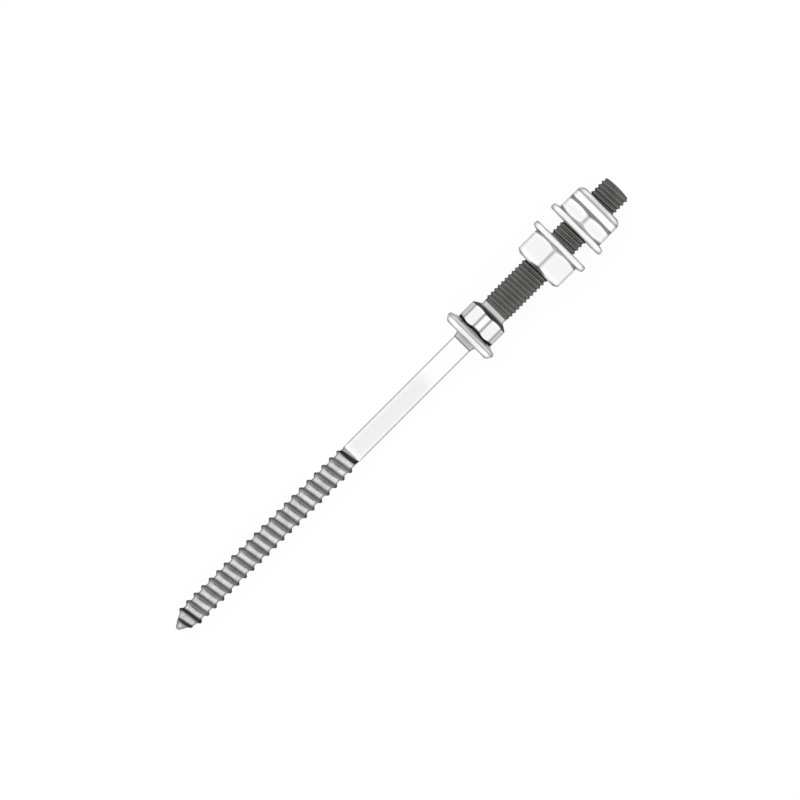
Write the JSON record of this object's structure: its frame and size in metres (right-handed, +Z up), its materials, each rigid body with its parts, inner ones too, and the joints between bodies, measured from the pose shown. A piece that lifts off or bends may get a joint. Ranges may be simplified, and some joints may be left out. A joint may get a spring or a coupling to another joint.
{
  "type": "solar hanger bolt",
  "caption": "Solar hanger bolt: coarse wood thread with a point, plain shank, forged flange and hexagon, metric thread with a flange nut and a locking flange nut.",
  "frame": {"origin": "under the middle of the bolt, on the surface that it lies on", "axes": "+X along the bolt towards its metric end and a little up, +Z up, with a corner of each hexagon on top"},
  "size_m": [0.1908, 0.021, 0.0212],
  "materials": {
    "stud_steel": "bright drawn stainless steel, darker in the threads",
    "nut_steel": "polished stainless steel",
    "insert_nylon": "plain off-white nylon"
  },
  "bodies": {
    "stud": {"hanger_stud": "stud_steel"},
    "lower_nut": {"lower_flange_nut": "nut_steel"},
    "upper_nut": {"upper_flange_nut": "nut_steel", "locking_insert": "insert_nylon"}
  },
  "joints": [
    {"name": "lower_nut_travel", "type": "slide", "parent": "stud", "child": "lower_nut", "axis": [0.9996, 0, 0.0276], "range_m": [-0.015, 0.0015]},
    {"name": "upper_nut_travel", "type": "slide", "parent": "stud", "child": "upper_nut", "axis": [0.9996, 0, 0.0276], "range_m": [-0.003, 0.006]}
  ]
}
